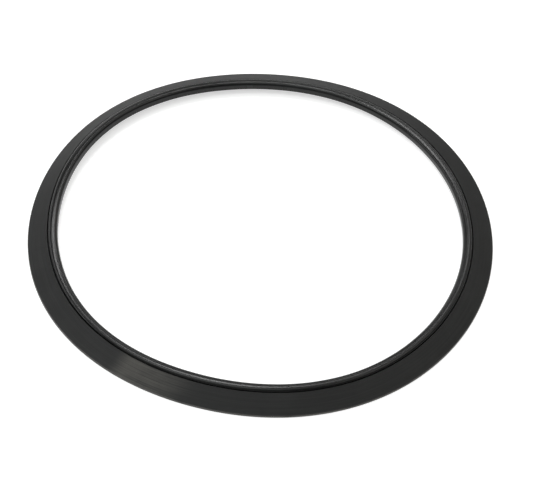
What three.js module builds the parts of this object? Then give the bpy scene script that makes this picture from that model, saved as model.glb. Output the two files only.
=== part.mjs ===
// Sealing ring (gasket) for the lid of a stovetop pressure cooker: one moulded rubber ring, lying loose.
// Its section is a raised, rounded inner bead with a thin, sloping sealing flange on its outside.
// Millimetres, +Z up. The ring's axis is Z, and the flange's lip rests on the plane Z = 0.
import * as THREE from 'three';

// Overall size
const OUTER_DIAMETER = 240; // across the lip of the flange
const FLANGE_REACH = 10.6; // outer side of the bead to the tip of the lip

// Bead
const BEAD_WIDTH = 5.2;
const BEAD_HEIGHT = 4.5;
const SHOULDER_RADIUS = 1.9; // bead's two top edges
const FOOT_RADIUS = 1.1; // bead's two bottom edges

// Flange, from its root on the bead to its lip
const STEP_DEPTH = 1; // top of the bead down to the flange's root
const FLANGE_DROP = 4.7; // flange's root down to the lip, on top
const ROOT_THICKNESS = 2.2;
const LIP_THICKNESS = 0.95;
const LIP_LAND = 0.8; // flat strip under the lip, which the ring rests on

// How the loose rubber lies: sums of waves round the ring, as [waves per turn, size, angle of a crest].
// With every size at 0 the ring is true to its mould: round and level.
const ROUNDNESS_WAVES = [ // millimetres, outwards
  [2, 2.2, -9],
  [3, 0.55, 48],
  [4, 0.6, 39],
  [5, 0.25, -7],
];
const TWIST_WAVES = [ // degrees, positive where the lip is turned down and the bead is lifted
  [1, 5.4, 122],
  [2, 3.9, -50],
  [3, 1.9, 37],
  [4, 1.9, -15],
];

// Fineness of the mesh
const STEPS_ROUND = 120;
const STEPS_PER_EDGE = 3;

// Colour and surface
const RUBBER_COLOUR = 0x333433;
const RUBBER_ROUGHNESS = 0.5;

// The section is drawn about the bead's centre, with x outwards and y up.
const SIDE = BEAD_WIDTH / 2;
const TOP = BEAD_HEIGHT / 2;
const ROOT_TOP = TOP - STEP_DEPTH;
const ROOT_BOTTOM = ROOT_TOP - ROOT_THICKNESS;
const LIP_TOP = ROOT_TOP - FLANGE_DROP;
const LIP_BOTTOM = LIP_TOP - LIP_THICKNESS;
const LIP_TIP = SIDE + FLANGE_REACH;
const BEAD_CENTRE_RADIUS = OUTER_DIAMETER / 2 - LIP_TIP;

// Where a rounded edge of the bead is cut short by the flange, at a distance in from the flat that the edge
// starts on: the angle that is left off its quarter turn, and how far in from the bead's side it is there.
function angleLeftOff(radius, distance) {
  return Math.asin(Math.max(1 - distance / radius, 0));
}

function inset(radius, distance) {
  return radius * (1 - Math.cos(angleLeftOff(radius, distance)));
}

// The closed outline of the section, anticlockwise from the inner end of the land.
function sectionOutline() {
  const quarter = Math.PI / 2;
  const shoulderStart = angleLeftOff(SHOULDER_RADIUS, STEP_DEPTH);
  const footEnd = 4 * quarter - angleLeftOff(FOOT_RADIUS, ROOT_BOTTOM + TOP);
  const outline = new THREE.Path();
  outline.moveTo(LIP_TIP - LIP_LAND, LIP_BOTTOM);
  outline.lineTo(LIP_TIP, LIP_BOTTOM);
  outline.lineTo(LIP_TIP, LIP_TOP);
  outline.lineTo(SIDE - inset(SHOULDER_RADIUS, STEP_DEPTH), ROOT_TOP);
  outline.absarc(SIDE - SHOULDER_RADIUS, TOP - SHOULDER_RADIUS, SHOULDER_RADIUS, shoulderStart, quarter);
  outline.absarc(SHOULDER_RADIUS - SIDE, TOP - SHOULDER_RADIUS, SHOULDER_RADIUS, quarter, 2 * quarter);
  outline.absarc(FOOT_RADIUS - SIDE, FOOT_RADIUS - TOP, FOOT_RADIUS, 2 * quarter, 3 * quarter);
  outline.absarc(SIDE - FOOT_RADIUS, FOOT_RADIUS - TOP, FOOT_RADIUS, 3 * quarter, footEnd);
  outline.lineTo(SIDE - inset(FOOT_RADIUS, ROOT_BOTTOM + TOP), ROOT_BOTTOM);
  outline.closePath();
  return withoutRepeats(outline.getPoints(STEPS_PER_EDGE));
}

// Drops each point that only repeats the one before it, and keeps the last one that closes the outline.
function withoutRepeats(points) {
  const samePlace = 1e-6;
  return points.filter((point, i) => i === 0 || point.distanceTo(points[i - 1]) > samePlace);
}

// Sum of waves at an angle round the ring.
function waveSum(waves, angle) {
  const wave = ([count, size, crest]) => size * Math.cos(count * (angle - THREE.MathUtils.degToRad(crest)));
  return waves.reduce((sum, entry) => sum + wave(entry), 0);
}

// Lowest point of a section turned about its bead's centre: the middle of its land, or the bead's foot.
function lowestPoint(land, turn) {
  const footCentres = [FOOT_RADIUS - SIDE, SIDE - FOOT_RADIUS];
  const feet = footCentres.map((x) => turned(x, FOOT_RADIUS - TOP, turn).y - FOOT_RADIUS);
  return Math.min(land.y, ...feet);
}

function turned(x, y, turn) {
  return new THREE.Vector2(x, y).rotateAround(new THREE.Vector2(), turn);
}

// Moves the moulded ring's points to where they lie: each section turns about its bead's centre, moves
// in or out, and comes down until it rests on Z = 0. The land under the lip stays flat and level.
function layDown(geometry) {
  const places = geometry.attributes.position;
  const landTolerance = 1e-6;
  for (let i = 0; i < places.count; i += 1) {
    const angle = Math.atan2(places.getY(i), places.getX(i));
    const across = Math.hypot(places.getX(i), places.getY(i)) - BEAD_CENTRE_RADIUS;
    const up = places.getZ(i);
    const turn = -THREE.MathUtils.degToRad(waveSum(TWIST_WAVES, angle));
    const point = turned(across, up, turn);
    const land = turned(LIP_TIP - LIP_LAND / 2, LIP_BOTTOM, turn);
    const onLand = Math.abs(up - LIP_BOTTOM) < landTolerance;
    const radius = BEAD_CENTRE_RADIUS + waveSum(ROUNDNESS_WAVES, angle) + point.x;
    const height = (onLand ? land.y : point.y) - lowestPoint(land, turn);
    places.setXYZ(i, radius * Math.cos(angle), radius * Math.sin(angle), height);
  }
}

// The ring: the section turned about the Y axis, stood up on Z, then laid down.
function sealingRing() {
  const section = sectionOutline().map(({ x, y }) => new THREE.Vector2(BEAD_CENTRE_RADIUS + x, y));
  const geometry = new THREE.LatheGeometry(section, STEPS_ROUND);
  geometry.rotateX(Math.PI / 2);
  layDown(geometry);
  geometry.computeVertexNormals();
  const rubber = new THREE.MeshStandardMaterial({
    color: RUBBER_COLOUR,
    roughness: RUBBER_ROUGHNESS,
    metalness: 0,
  });
  const mesh = new THREE.Mesh(geometry, rubber);
  mesh.name = 'sealing_ring';
  return mesh;
}

const part = new THREE.Group();
part.add(sealingRing());

export default part;
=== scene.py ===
"""Sealing ring of a stovetop pressure cooker, lying loose on a pale table: the visual model.

The ring is one piece of black moulded rubber. Its section is a rounded inner bead, a step with a narrow
groove, and a thin flange that slopes outwards and down to a lip. Lengths are in metres and angles in
degrees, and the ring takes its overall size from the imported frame.
"""
import logging
import math
from dataclasses import dataclass, field
from enum import Enum
from typing import Any, Iterable, Sequence, Union

import bmesh
import bpy
from mathutils import Matrix, Vector, noise


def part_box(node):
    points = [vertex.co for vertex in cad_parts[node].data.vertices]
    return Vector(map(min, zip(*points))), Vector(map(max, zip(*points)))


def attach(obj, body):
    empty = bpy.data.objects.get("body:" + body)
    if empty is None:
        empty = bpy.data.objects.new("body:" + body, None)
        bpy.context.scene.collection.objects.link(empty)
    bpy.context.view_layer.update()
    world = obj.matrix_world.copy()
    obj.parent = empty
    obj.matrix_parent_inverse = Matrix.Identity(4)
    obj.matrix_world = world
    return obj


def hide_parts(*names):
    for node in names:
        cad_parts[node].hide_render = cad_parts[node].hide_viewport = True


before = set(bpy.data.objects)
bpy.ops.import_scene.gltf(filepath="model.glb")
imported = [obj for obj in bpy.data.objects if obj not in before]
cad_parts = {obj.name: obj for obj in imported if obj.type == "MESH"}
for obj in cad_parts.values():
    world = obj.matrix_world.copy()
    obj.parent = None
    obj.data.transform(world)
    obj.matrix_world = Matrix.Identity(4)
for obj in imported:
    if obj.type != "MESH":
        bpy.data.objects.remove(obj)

log = logging.getLogger("sealing_ring")

MM = 0.001  # one millimetre, in metres
NODE = "sealing_ring"
SLOT = "black_rubber"
BODY = "root"
MOULD_PLACE = "mould_place"  # each point's place on the ring as it was moulded, round and level


# ---------------------------------------------------------------------------------------------------------
# Shader maths
# ---------------------------------------------------------------------------------------------------------

Number = Union[float, "Value"]
Colour = tuple[float, float, float]


class Value:
    """A number that varies over a surface: a shader socket with arithmetic on it."""

    def __init__(self, bench: "NodeBench", socket: bpy.types.NodeSocket) -> None:
        """Wraps a socket.

        Args:
            bench: the node tree that the socket is in.
            socket: an output socket that carries a number.
        """
        self.bench = bench
        self.socket = socket

    def _math(self, operation: str, *others: Number) -> "Value":
        """One Math node on this value.

        Args:
            operation: the Math node's operation.
            others: its second and third values.

        Returns:
            The result, as a new value.
        """
        inputs = dict(enumerate((self, *others)))
        return self.bench.value("ShaderNodeMath", {"operation": operation}, inputs)

    def __add__(self, other: Number) -> "Value":
        """This plus other."""
        return self._math("ADD", other)

    def __sub__(self, other: Number) -> "Value":
        """This minus other."""
        return self._math("SUBTRACT", other)

    def __rsub__(self, other: float) -> "Value":
        """A plain number minus this."""
        return self * -1.0 + other

    def __mul__(self, other: Number) -> "Value":
        """This times other."""
        return self._math("MULTIPLY", other)

    def __truediv__(self, other: Number) -> "Value":
        """This divided by other."""
        return self._math("DIVIDE", other)

    __radd__ = __add__
    __rmul__ = __mul__

    def root(self) -> "Value":
        """Square root of this."""
        return self._math("SQRT")

    def rise(self, low: float, high: float) -> "Value":
        """A smooth step of this value.

        Args:
            low: where the step starts, at 0.
            high: where it ends, at 1. It may be below low, for a step down.

        Returns:
            0 on low's side, 1 on high's side, and a smooth slope between.
        """
        turned = high < low
        first, last = (high, low) if turned else (low, high)
        settings = {"interpolation_type": "SMOOTHSTEP"}
        inputs = {"Value": self, "From Min": first, "From Max": last}
        step = self.bench.value("ShaderNodeMapRange", settings, inputs)
        return 1.0 - step if turned else step


class NodeBench:
    """A material's node tree, and the one method that makes its nodes."""

    def __init__(self, tree: bpy.types.NodeTree) -> None:
        """Starts with an empty tree.

        Args:
            tree: the node tree, whose nodes are cleared.
        """
        self.tree = tree
        self.tree.nodes.clear()

    def node(self, kind: str, settings: dict[str, Any], inputs: dict[Any, Any]) -> bpy.types.Node:
        """Makes one node.

        Args:
            kind: the node's type, such as ShaderNodeMath.
            settings: attributes to set before its sockets. "stops" is a colour ramp's list of
                (place, colour).
            inputs: socket name or number to a plain value, a Value or an output socket.

        Returns:
            The new node.
        """
        made = self.tree.nodes.new(kind)
        for name, setting in settings.items():
            if name == "stops":
                self._set_stops(made.color_ramp, setting)
            else:
                setattr(made, name, setting)
        for name, given in inputs.items():
            source = given.socket if isinstance(given, Value) else given
            if isinstance(source, bpy.types.NodeSocket):
                self.tree.links.new(source, made.inputs[name])
            else:
                made.inputs[name].default_value = source
        return made

    def value(self, kind: str, settings: dict[str, Any], inputs: dict[Any, Any], output: Any = 0) -> Value:
        """Makes one node and wraps one of its outputs.

        Args:
            kind: the node's type.
            settings: as for node.
            inputs: as for node.
            output: name or number of the output.

        Returns:
            That output, as a value.
        """
        return Value(self, self.node(kind, settings, inputs).outputs[output])

    @staticmethod
    def _set_stops(ramp: bpy.types.ColorRamp, stops: Sequence[tuple[float, Sequence[float]]]) -> None:
        """Sets a colour ramp's stops.

        Args:
            ramp: a new ramp, which has two stops.
            stops: at least two (place, colour) pairs, in order.
        """
        for place, colour in stops[1:-1]:
            ramp.elements.new(place)
        for element, (place, colour) in zip(ramp.elements, stops):
            element.position = place
            element.color = (*colour, 1.0)


# ---------------------------------------------------------------------------------------------------------
# Rubber
# ---------------------------------------------------------------------------------------------------------


@dataclass(frozen=True)
class Streaks:
    """Fine marks that run round the ring, left by the mould and by wiping.

    Attributes:
        width: typical width of a mark across the ring, in metres.
        length: typical length of a mark round the ring, in degrees.
        seed: shifts the pattern, so that no two sets match.
    """

    width: float
    length: float
    seed: float

    def pattern(self, bench: NodeBench, across: Value, east: Value, north: Value) -> Value:
        """The marks' strength over the surface.

        Args:
            bench: the material's nodes.
            across: distance from the ring's axis, in metres.
            east: cosine of the angle round the ring.
            north: sine of the angle round the ring.

        Returns:
            A value from about 0.3 to 0.7, 0.5 on average.
        """
        turns = 1.0 / math.radians(self.length)
        settings = {"noise_dimensions": "3D"}
        place = bench.node(
            "ShaderNodeCombineXYZ",
            {},
            {0: across * (1.0 / self.width) + self.seed, 1: east * turns, 2: north * turns},
        )
        inputs = {"Vector": place.outputs[0], "Scale": 1.0, "Detail": 2.0, "Roughness": 0.6}
        return bench.value("ShaderNodeTexNoise", settings, inputs)


@dataclass(frozen=True)
class RubberFinish:
    """Black moulded rubber: satin, with fine rings, a painted highlight along the lip's edge, a pale patch
    and a little dust.

    Attributes:
        deep: colour of the rubber where it is clean.
        worn: colour along the streaks.
        dust: colour of the specks.
        pale_patch: colour of the pale patch.
        painted_lip_highlight: colour of the painted highlight along the lip's edge.
        pale_patch_start: angles round the ring where the patch starts and is full, in degrees.
        pale_patch_end: angles where it is gone and where it is still full, in degrees.
        smoothest: least roughness of the flange.
        roughest: most roughness of the flange.
        bead_polish: how much less rough the bead is.
        bead_reach: distances out from the bead's centre line where its polish ends and starts to end.
        painted_lip_highlight_reach: distances in from the lip's tip where the painted highlight starts and
            is full.
        specular: strength of the rubber's gloss.
        relief: height of the bumps, in metres.
        relief_strength: how much of the bumps shows.
        blotches: cloudy patches in a metre.
        grains: grains in a metre.
        speck_grid: places in a metre where a speck may be.
        speck_groups: groups of specks in a metre.
        speck_strength: how much of a speck's colour shows.
        fine: the fine streaks.
        broad: the broad streaks.
    """

    deep: Colour = (0.0042, 0.0044, 0.0044)
    worn: Colour = (0.0150, 0.0154, 0.0150)
    dust: Colour = (0.16, 0.155, 0.145)
    # Colour of a pale patch at one place round the ring, kept off the bead.
    pale_patch: Colour = (0.078, 0.075, 0.067)
    # Colour of a painted highlight along the lip's rounded edge.
    painted_lip_highlight: Colour = (0.090, 0.088, 0.083)
    pale_patch_start: tuple[float, float] = (232.0, 237.0)
    pale_patch_end: tuple[float, float] = (257.0, 240.0)
    smoothest: float = 0.52
    roughest: float = 0.62
    bead_polish: float = 0.32
    bead_reach: tuple[float, float] = (2.8 * MM, 2.2 * MM)
    painted_lip_highlight_reach: tuple[float, float] = (0.45 * MM, 0.1 * MM)
    specular: float = 0.3
    relief: float = 0.05 * MM
    relief_strength: float = 0.35
    blotches: float = 70.0
    grains: float = 2600.0
    speck_grid: float = 900.0
    speck_groups: float = 340.0
    speck_strength: float = 0.25
    fine: Streaks = Streaks(0.36 * MM, 16.0, 3.1)
    broad: Streaks = Streaks(1.3 * MM, 40.0, 17.9)

    def make(self, bead_radius: float, rim_radius: float) -> bpy.types.Material:
        """Makes the material.

        Args:
            bead_radius: radius of the bead's centre line, in metres.
            rim_radius: radius of the lip's tip, in metres.

        Returns:
            The material.
        """
        made = bpy.data.materials.new(SLOT)
        made.use_nodes = True
        bench = NodeBench(made.node_tree)
        place = bench.node("ShaderNodeAttribute", {"attribute_name": MOULD_PLACE}, {})
        split = bench.node("ShaderNodeSeparateXYZ", {}, {0: place.outputs["Vector"]})
        x, y = (Value(bench, split.outputs[axis]) for axis in "XY")
        across = (x * x + y * y).root()
        east, north = x / across, y / across
        fine = self.fine.pattern(bench, across, east, north)
        broad = self.broad.pattern(bench, across, east, north)
        blotch = self._noise(bench, self.blotches, detail=3.0)
        specks = self._specks(bench)
        marks = fine * 0.6 + broad * 0.4
        on_bead = across.rise(*(bead_radius + reach for reach in self.bead_reach))
        # Painted highlight along the lip's edge, broken into patches by the blotches.
        on_painted_lip_highlight = across.rise(*(rim_radius - reach for reach in self.painted_lip_highlight_reach)) * blotch.rise(0.2, 0.5)
        wear = marks.rise(0.36, 0.70) * 0.7 + blotch.rise(0.35, 0.75) * 0.3
        cloud = blotch.rise(0.2, 0.75) * 0.35 + marks.rise(0.34, 0.64) * 0.65
        # The pale patch at one place round the ring: cloudy, and kept off the bead.
        pale_patch = self._pale_patch(east, north) * cloud * (1.0 - on_bead)
        colour = self._mix(bench, wear, self.deep, self.worn)
        for amount, shade in ((pale_patch, self.pale_patch), (on_painted_lip_highlight, self.painted_lip_highlight), (specks, self.dust)):
            colour = self._mix(bench, amount, colour, shade)
        spread = self.roughest - self.smoothest
        rough = marks.rise(0.3, 0.7) * spread + self.smoothest + specks * 0.2 - on_bead * self.bead_polish
        height = fine * 0.55 + broad * 0.25 + self._noise(bench, self.grains, detail=2.0) * 0.2
        relief = {"Strength": self.relief_strength, "Distance": self.relief, "Height": height}
        inputs = {
            "Base Color": colour,
            "Roughness": rough,
            "Normal": bench.node("ShaderNodeBump", {}, relief).outputs[0],
            "Specular IOR Level": self.specular,
            "IOR": 1.5,
        }
        shader = bench.node("ShaderNodeBsdfPrincipled", {}, inputs)
        bench.node("ShaderNodeOutputMaterial", {}, {"Surface": shader.outputs[0]})
        return made

    def _mix(self, bench: NodeBench, amount: Value, first: Any, second: Any) -> bpy.types.NodeSocket:
        """Mixes two colours.

        Args:
            bench: the material's nodes.
            amount: 0 for the first colour and 1 for the second.
            first: a colour or a colour socket.
            second: a colour or a colour socket.

        Returns:
            The mixed colour's socket.
        """
        pair = [(*given, 1.0) if isinstance(given, tuple) else given for given in (first, second)]
        settings = {"data_type": "RGBA", "clamp_factor": True}
        mixed = bench.node("ShaderNodeMix", settings, {0: amount, 6: pair[0], 7: pair[1]})
        return mixed.outputs[2]

    def _noise(self, bench: NodeBench, scale: float, detail: float) -> Value:
        """Cloudy noise through the rubber, from 0 to 1.

        Args:
            bench: the material's nodes.
            scale: patches in a metre.
            detail: how many finer layers it has.

        Returns:
            The noise's value.
        """
        here = bench.node("ShaderNodeTexCoord", {}, {})
        inputs = {"Vector": here.outputs["Object"], "Scale": scale, "Detail": detail}
        return bench.value("ShaderNodeTexNoise", {}, inputs)

    def _specks(self, bench: NodeBench) -> Value:
        """Sparse specks of dust.

        Args:
            bench: the material's nodes.

        Returns:
            0 away from the specks, and their strength at one.
        """
        here = bench.node("ShaderNodeTexCoord", {}, {})
        inputs = {"Vector": here.outputs["Object"], "Scale": self.speck_grid, "Randomness": 1.0}
        nearest = bench.value("ShaderNodeTexVoronoi", {"feature": "F1"}, inputs, "Distance")
        group = self._noise(bench, self.speck_groups, detail=2.0)
        return nearest.rise(0.22, 0.10) * group.rise(0.64, 0.72) * self.speck_strength

    def _pale_patch(self, east: Value, north: Value) -> Value:
        """A soft pale patch at one place round the ring, with one quick edge and one slow one.

        Args:
            east: cosine of the angle round the ring.
            north: sine of the angle round the ring.

        Returns:
            1 in the patch's middle and 0 away from it.
        """
        middle = math.radians((self.pale_patch_start[1] + self.pale_patch_end[1]) / 2)
        onward = north * math.cos(middle) - east * math.sin(middle)
        near = (east * math.cos(middle) + north * math.sin(middle)).rise(0.5, 0.6)
        start = [math.sin(math.radians(angle) - middle) for angle in self.pale_patch_start]
        end = [math.sin(math.radians(angle) - middle) for angle in self.pale_patch_end]
        return onward.rise(*start) * onward.rise(*end) * near


# ---------------------------------------------------------------------------------------------------------
# Shape
# ---------------------------------------------------------------------------------------------------------


@dataclass(frozen=True)
class Wave:
    """One wave round the ring: a whole number of crests, a size, and the angle of a crest."""

    crests: int
    size: float
    crest_angle: float

    def at(self, angle: float) -> float:
        """The wave's height at an angle in radians."""
        return self.size * math.cos(self.crests * (angle - math.radians(self.crest_angle)))


def wave_sum(waves: Iterable[Wave], angle: float) -> float:
    """Sum of waves at an angle in radians."""
    return sum(wave.at(angle) for wave in waves)


@dataclass(frozen=True)
class LyingShape:
    """How the loose rubber lies: out of round, and twisted along its length.

    Attributes:
        roundness: outward waves, in metres.
        twist: waves of turn, in degrees, positive where the lip is turned down.
        unevenness: size of the small irregular bends in the rubber, in metres.
        bend_length: typical length of such a bend, in metres.
    """

    roundness: tuple[Wave, ...] = (
        Wave(2, 2.2 * MM, -9.0),
        Wave(3, 0.55 * MM, 48.0),
        Wave(4, 0.6 * MM, 39.0),
        Wave(5, 0.25 * MM, -7.0),
    )
    twist: tuple[Wave, ...] = (
        Wave(1, 5.4, 122.0),
        Wave(2, 3.9, -50.0),
        Wave(3, 1.9, 37.0),
        Wave(4, 1.9, -15.0),
    )
    unevenness: float = 0.06 * MM
    bend_length: float = 14.0 * MM


@dataclass(frozen=True)
class Corner:
    """A corner of the section: its place about the bead's centre, and the length that rounds it off."""

    across: float
    up: float
    rounding: float = 0.0
    segments: int = 1


@dataclass(frozen=True)
class RingSection:
    """The ring's section, the same all the way round.

    Attributes:
        outer_radius: radius of the lip's tip as moulded.
        flange_reach: from the bead's side out to the tip.
        bead_width: across the bead.
        bead_height: from the bead's foot to the top of its crown.
        crown: how far the bead's top falls from its crown to its sides.
        crown_offset: how far the crown is out from the bead's centre line.
        crown_rounding: length that rounds off the crown.
        shoulder: length that rounds off the bead's inner shoulder.
        outer_shoulder: length that rounds off its outer shoulder.
        foot: length that rounds off its foot.
        step: from the bead's top down to the flange's root.
        flange_drop: how far the flange's top falls from root to lip.
        root_thickness: of the flange where it leaves the bead.
        root_fillet: length that rounds off the corner under the root.
        lip_thickness: height of the lip's edge.
        lip_edge: length that rounds off the lip's upper edge.
        land: width of the flat under the lip.
        land_edge: length that rounds off the land's inner edge.
        root_taper: how far the bead's outer side leans in at the groove.
        groove_width: of the groove's mouth, between bead and flange.
        groove_slant: width of the groove's floor.
        groove_depth: from the flange's root down to the groove's floor.
        groove_edge: length that rounds off the groove's outer edge.
        groove_corners: lengths that round off its floor, at the flange and at the bead.
    """

    outer_radius: float = 120.0 * MM
    flange_reach: float = 10.6 * MM
    bead_width: float = 5.2 * MM
    bead_height: float = 4.5 * MM
    crown: float = 0.3 * MM
    crown_offset: float = 0.2 * MM
    crown_rounding: float = 0.5 * MM
    shoulder: float = 1.75 * MM
    outer_shoulder: float = 1.85 * MM
    foot: float = 0.5 * MM
    step: float = 1.0 * MM
    flange_drop: float = 4.7 * MM
    root_thickness: float = 2.2 * MM
    root_fillet: float = 0.15 * MM
    lip_thickness: float = 0.95 * MM
    lip_edge: float = 0.16 * MM
    land: float = 0.8 * MM
    land_edge: float = 0.1 * MM
    root_taper: float = 0.3 * MM
    groove_width: float = 0.5 * MM
    groove_slant: float = 0.14 * MM
    groove_depth: float = 1.45 * MM
    groove_edge: float = 0.2 * MM
    groove_corners: tuple[float, float] = (0.05 * MM, 0.03 * MM)

    @property
    def tip(self) -> float:
        """From the bead's centre line out to the lip's tip."""
        return self.bead_width / 2 + self.flange_reach

    @property
    def bead_radius(self) -> float:
        """Radius of the bead's centre line."""
        return self.outer_radius - self.tip

    @property
    def lip_bottom(self) -> float:
        """Height of the land under the lip, from the bead's centre."""
        return self.bead_height / 2 - self.step - self.flange_drop - self.lip_thickness

    def corners(self) -> list[Corner]:
        """The section's corners, anticlockwise from the inner end of the land."""
        side = self.bead_width / 2
        top = self.bead_height / 2
        shoulder_top = top - self.crown
        root_top = top - self.step
        slope = self.flange_drop / self.flange_reach
        root = side - self.root_taper
        groove_end = root + self.groove_width
        groove_top = root_top - slope * (groove_end - side)
        groove_floor = root_top - self.groove_depth
        at_flange, at_bead = self.groove_corners
        return [
            Corner(self.tip - self.land, self.lip_bottom, self.land_edge, 3),
            Corner(self.tip, self.lip_bottom, self.lip_edge / 2, 3),
            Corner(self.tip, root_top - self.flange_drop, self.lip_edge, 4),
            Corner(groove_end, groove_top, self.groove_edge, 5),
            Corner(root + self.groove_slant, groove_floor, at_flange, 2),
            Corner(root, groove_floor, at_bead, 2),
            Corner(side, shoulder_top, self.outer_shoulder, 12),
            Corner(self.crown_offset, top, self.crown_rounding, 6),
            Corner(-side, shoulder_top, self.shoulder, 12),
            Corner(-side, -top, self.foot, 8),
            Corner(side, -top, self.foot, 8),
            Corner(side, root_top - self.root_thickness, self.root_fillet, 4),
        ]


@dataclass
class SealingRing:
    """The ring itself: one closed surface, laid down on the table.

    Attributes:
        section: the ring's section.
        lying: how it lies.
        finish: its rubber.
        slices: equal slices that it is made of.
        steps_per_slice: steps round each slice.
        longest_edge: about the longest straight edge in the section's outline.
        flat_margin: how near a corner a straight edge is split, to keep it flat.
        weld: points nearer than this are one point.
        land_band: how far above the land a point still counts as on it.
    """

    section: RingSection = field(default_factory=RingSection)
    lying: LyingShape = field(default_factory=LyingShape)
    finish: RubberFinish = field(default_factory=RubberFinish)
    slices: int = 24
    steps_per_slice: int = 30
    longest_edge: float = 2.2 * MM
    flat_margin: float = 0.12 * MM
    weld: float = 0.001 * MM
    land_band: float = 0.01 * MM

    def build(self) -> bpy.types.Object:
        """Makes the ring's mesh and object.

        Returns:
            The ring, at the origin, with its place in its mesh.
        """
        shape = bmesh.new()
        self._draw_section(shape)
        self._split_long_edges(shape)
        self._sweep(shape)
        self._keep_mould_places(shape)
        self._lay_down(shape)
        self._fit_to_frame(shape)
        mesh = bpy.data.meshes.new("moulded_ring")
        shape.to_mesh(mesh)
        shape.free()
        mesh.shade_smooth()
        ring = bpy.data.objects.new("moulded_ring", mesh)
        bpy.context.scene.collection.objects.link(ring)
        ring.data.materials.append(self.finish.make(self.section.bead_radius, self.section.outer_radius))
        return ring

    def _draw_section(self, shape: bmesh.types.BMesh) -> None:
        """Draws the section as one face on the XZ plane, and rounds off its corners.

        Args:
            shape: the empty mesh that it is drawn in.
        """
        corners = self.section.corners()
        centre = self.section.bead_radius
        points = [shape.verts.new((centre + c.across, 0.0, c.up)) for c in corners]
        shape.faces.new(points)
        for point, corner in zip(points, corners):
            if corner.rounding:
                bmesh.ops.bevel(
                    shape,
                    geom=[point],
                    offset=corner.rounding,
                    offset_type="OFFSET",
                    segments=corner.segments,
                    profile=0.5,
                    affect="VERTICES",
                    clamp_overlap=True,
                    material=-1,
                )

    def _split_long_edges(self, shape: bmesh.types.BMesh) -> None:
        """Splits the straight edges: near their ends, to keep them flat, and along the long ones.

        Args:
            shape: the mesh that holds the section.
        """
        for edge in list(shape.edges):
            for end in list(edge.verts):
                length = edge.calc_length()
                if length > 3 * self.flat_margin:
                    bmesh.utils.edge_split(edge, end, self.flat_margin / length)
        for edge in list(shape.edges):
            cuts = int(edge.calc_length() / self.longest_edge)
            if cuts:
                bmesh.ops.subdivide_edges(shape, edges=[edge], cuts=cuts)

    def _sweep(self, shape: bmesh.types.BMesh) -> None:
        """Turns the section's outline about the Z axis: one short slice, and then copies of it all round.

        Args:
            shape: the mesh that holds the section. Its face is dropped.
        """
        bmesh.ops.delete(shape, geom=list(shape.faces), context="FACES_ONLY")
        slice_angle = math.tau / self.slices
        about_axis = {"cent": Vector(), "axis": Vector((0.0, 0.0, 1.0))}
        outline = [*shape.verts, *shape.edges]
        bmesh.ops.spin(shape, geom=outline, angle=slice_angle, steps=self.steps_per_slice, **about_axis)
        one_slice = [*shape.verts, *shape.edges, *shape.faces]
        others = self.slices - 1
        turn = slice_angle * others
        bmesh.ops.spin(shape, geom=one_slice, angle=turn, steps=others, use_duplicate=True, **about_axis)
        bmesh.ops.remove_doubles(shape, verts=shape.verts, dist=self.weld)
        bmesh.ops.recalc_face_normals(shape, faces=shape.faces)

    def _keep_mould_places(self, shape: bmesh.types.BMesh) -> None:
        """Stores each point's place on the moulded ring, which the rubber's pattern follows.

        Args:
            shape: the swept ring.
        """
        layer = shape.verts.layers.float_vector.new(MOULD_PLACE)
        for point in shape.verts:
            point[layer] = point.co

    def _lay_down(self, shape: bmesh.types.BMesh) -> None:
        """Twists and bends the ring into the shape that it lies in.

        Args:
            shape: the swept ring, about the bead's centre line.
        """
        section = self.section
        land = Vector((section.tip - section.land / 2, section.lip_bottom))
        centre = section.bead_radius
        for point in shape.verts:
            angle = math.atan2(point.co.y, point.co.x)
            turn = Matrix.Rotation(-math.radians(wave_sum(self.lying.twist, angle)), 2)
            across = math.hypot(point.co.x, point.co.y) - centre
            place = turn @ Vector((across, point.co.z))
            height = place.y - (turn @ land).y
            if point.co.z - section.lip_bottom < self.land_band:
                height = 0.0
            radius = centre + wave_sum(self.lying.roundness, angle) + place.x
            radius += self._bend(angle, across)
            point.co = (radius * math.cos(angle), radius * math.sin(angle), height)

    def _bend(self, angle: float, across: float) -> float:
        """Small irregular bend of the rubber, outwards, strongest on the bead.

        Args:
            angle: angle round the ring, in radians.
            across: distance out from the bead's centre line.

        Returns:
            The bend, in metres.
        """
        turns = self.section.bead_radius / self.lying.bend_length
        place = Vector((math.cos(angle) * turns, math.sin(angle) * turns, 0.0))
        fade = max(0.0, 1.0 - max(across, 0.0) / self.section.tip)
        return self.lying.unevenness * noise.noise(place) * fade

    def _fit_to_frame(self, shape: bmesh.types.BMesh) -> None:
        """Brings the ring to the box of the CAD node that it replaces.

        Args:
            shape: the ring as it lies.
        """
        low, high = (Vector(corner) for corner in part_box(NODE))
        for axis in range(3):
            places = [point.co[axis] for point in shape.verts]
            first, last = min(places), max(places)
            scale = (high[axis] - low[axis]) / (last - first)
            for point in shape.verts:
                point.co[axis] = low[axis] + (point.co[axis] - first) * scale


# ---------------------------------------------------------------------------------------------------------
# Table, light and camera
# ---------------------------------------------------------------------------------------------------------


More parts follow.
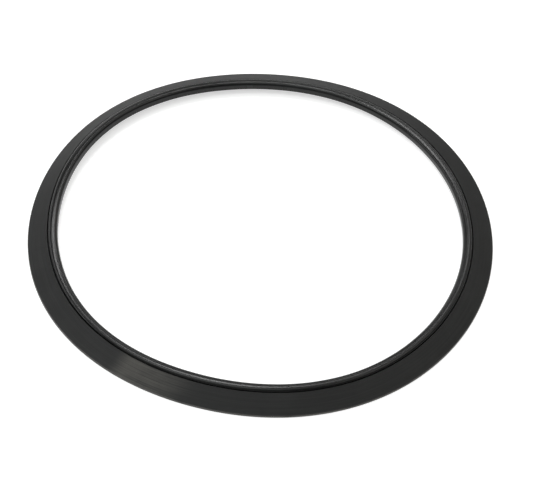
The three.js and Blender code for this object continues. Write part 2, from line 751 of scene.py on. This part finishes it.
@dataclass(frozen=True)
class Tabletop:
    """The pale floor that the ring lies on.

    Attributes:
        size: of each side, in metres.
        colour: its own colour.
        roughness: how matt it is.
        gloss: strength of what gloss it has.
        glow: light of its own, which keeps it white under the soft lamps.
    """

    size: float = 8.0
    colour: Colour = (0.62, 0.62, 0.62)
    roughness: float = 0.9
    gloss: float = 0.1
    glow: float = 0.6

    def build(self) -> bpy.types.Object:
        """Makes the floor, just under the ring.

        Returns:
            The floor's object.
        """
        shape = bmesh.new()
        bmesh.ops.create_grid(shape, x_segments=1, y_segments=1, size=self.size / 2)
        mesh = bpy.data.meshes.new("tabletop")
        shape.to_mesh(mesh)
        shape.free()
        floor = bpy.data.objects.new("tabletop", mesh)
        bpy.context.scene.collection.objects.link(floor)
        made = bpy.data.materials.new("pale_table")
        made.use_nodes = True
        bench = NodeBench(made.node_tree)
        inputs = {
            "Base Color": (*self.colour, 1.0),
            "Roughness": self.roughness,
            "Specular IOR Level": self.gloss,
            "Emission Color": (1.0, 1.0, 1.0, 1.0),
            "Emission Strength": self.glow,
        }
        shader = bench.node("ShaderNodeBsdfPrincipled", {}, inputs)
        bench.node("ShaderNodeOutputMaterial", {}, {"Surface": shader.outputs[0]})
        mesh.materials.append(made)
        return floor


class Side(Enum):
    """Which way round the table a lamp stands, as an angle from +X."""

    RIGHT = 0.0
    BACK_RIGHT = 45.0
    BACK_WINDOW = 69.0
    LOW_BACK = 82.0
    BACK = 101.0
    TALL_BACK = 109.0
    BACK_LEFT = 124.0
    LEFT = 165.0
    FAR_LEFT = 180.0
    FRONT_LEFT = 225.0


WARM = (1.0, 0.985, 0.94)
COOL = (0.95, 1.0, 0.99)


@dataclass(frozen=True)
class Softbox:
    """A square-cornered soft lamp that faces the ring.

    Attributes:
        name: the lamp's name.
        side: which way round the table it stands.
        elevation: its height above the table, as an angle.
        distance: from the ring's centre, in metres.
        width: across, in metres.
        height: the other way, in metres.
        brightness: radiance of its face, where 1 is the table's white.
        tint: colour of its light.
    """

    name: str
    side: Side
    elevation: float
    distance: float
    width: float
    height: float
    brightness: float
    tint: Colour = (1.0, 1.0, 1.0)

    def build(self) -> bpy.types.Object:
        """Makes the lamp.

        Returns:
            The lamp's object.
        """
        data = bpy.data.lights.new(self.name, "AREA")
        data.shape = "RECTANGLE"
        data.size = self.width
        data.size_y = self.height
        data.energy = self.brightness * math.pi * self.width * self.height
        data.color = self.tint
        lamp = bpy.data.objects.new(self.name, data)
        bpy.context.scene.collection.objects.link(lamp)
        azimuth, elevation = math.radians(self.side.value), math.radians(self.elevation)
        level = math.cos(elevation)
        toward = Vector((math.cos(azimuth) * level, math.sin(azimuth) * level, math.sin(elevation)))
        lamp.location = toward * self.distance
        lamp.rotation_euler = toward.to_track_quat("Z", "Y").to_euler()
        return lamp


@dataclass(frozen=True)
class Studio:
    """The room's even glow, by height above the horizon, and its soft lamps.

    Attributes:
        glow: (sine of the elevation, brightness) pairs from the horizon up.
        lamps: the soft lamps.
    """

    glow: tuple[tuple[float, float], ...] = ((0.0, 0.30), (0.12, 0.12), (1.0, 0.10))
    lamps: tuple[Softbox, ...] = (
        Softbox("back", Side.BACK, 61.0, 1.2, 0.36, 0.24, 14.0),
        Softbox("tall_back", Side.TALL_BACK, 22.0, 2.0, 0.5, 0.85, 1.3),
        Softbox("low_back_left", Side.BACK_LEFT, 19.0, 2.0, 1.1, 0.8, 0.7),
        Softbox("low_left", Side.LEFT, 26.0, 2.0, 2.0, 0.5, 3.3),
        Softbox("high_left", Side.FAR_LEFT, 64.0, 2.0, 1.3, 0.56, 2.6),
        Softbox("back_window", Side.BACK_WINDOW, 49.0, 1.38, 0.22, 0.24, 6.5),
        Softbox("low_back", Side.LOW_BACK, 32.0, 2.0, 0.75, 0.4, 1.8),
        Softbox("overhead", Side.FRONT_LEFT, 79.0, 2.0, 1.2, 0.8, 2.4, COOL),
        Softbox("front_left", Side.FRONT_LEFT, 43.0, 2.0, 1.6, 0.96, 0.5),
        Softbox("high_right", Side.RIGHT, 57.0, 2.0, 1.8, 1.0, 1.4, WARM),
        Softbox("low_right", Side.BACK_RIGHT, 30.0, 2.0, 1.95, 0.9, 0.75, WARM),
    )

    def build(self) -> None:
        """Makes the glow and the lamps."""
        world = bpy.data.worlds.new("studio")
        bpy.context.scene.world = world
        world.use_nodes = True
        bench = NodeBench(world.node_tree)
        toward = bench.node("ShaderNodeTexCoord", {}, {})
        split = bench.node("ShaderNodeSeparateXYZ", {}, {0: toward.outputs["Generated"]})
        stops = [(place, (level, level, level)) for place, level in self.glow]
        ramp = bench.node("ShaderNodeValToRGB", {"stops": stops}, {0: split.outputs[2]})
        back = bench.node("ShaderNodeBackground", {}, {"Color": ramp.outputs[0], "Strength": 1.0})
        bench.node("ShaderNodeOutputWorld", {}, {"Surface": back.outputs[0]})
        for lamp in self.lamps:
            lamp.build()


@dataclass(frozen=True)
class Viewpoint:
    """The camera: in front of the ring and above it, with a long lens.

    Attributes:
        elevation: angle above the table, in degrees.
        distance: from the ring's centre, in metres.
        lens_mm: length of the lens.
        roll: turn about the line of sight, in degrees.
        aim: the point that it looks at.
    """

    elevation: float = 49.33
    distance: float = 0.759
    lens_mm: float = 97.5
    roll: float = 2.55
    aim: tuple[float, float, float] = (0.0031, -0.0124, 0.0)

    def build(self) -> bpy.types.Object:
        """Makes the scene's camera.

        Returns:
            The camera's object.
        """
        data = bpy.data.cameras.new("camera")
        data.lens = self.lens_mm
        camera = bpy.data.objects.new("camera", data)
        bpy.context.scene.collection.objects.link(camera)
        bpy.context.scene.camera = camera
        angle = math.radians(self.elevation)
        camera.location = Vector((0.0, -math.cos(angle), math.sin(angle))) * self.distance
        ahead = Vector(self.aim) - camera.location
        level = ahead.to_track_quat("-Z", "Y").to_matrix()
        camera.rotation_euler = (level @ Matrix.Rotation(math.radians(self.roll), 3, "Z")).to_euler()
        return camera


# ---------------------------------------------------------------------------------------------------------


def main() -> None:
    """Builds the scene and reports each piece."""
    logging.basicConfig(level=logging.INFO, format="%(name)s: %(message)s")
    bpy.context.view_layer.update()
    bpy.context.scene.view_settings.view_transform = "Standard"
    Viewpoint().build()
    Studio().build()
    Tabletop().build()
    ring = SealingRing().build()
    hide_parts(NODE)
    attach(ring, BODY)
    log.info("%s: %d faces, replaces %s", ring.name, len(ring.data.polygons), NODE)


if __name__ == "__main__":
    main()
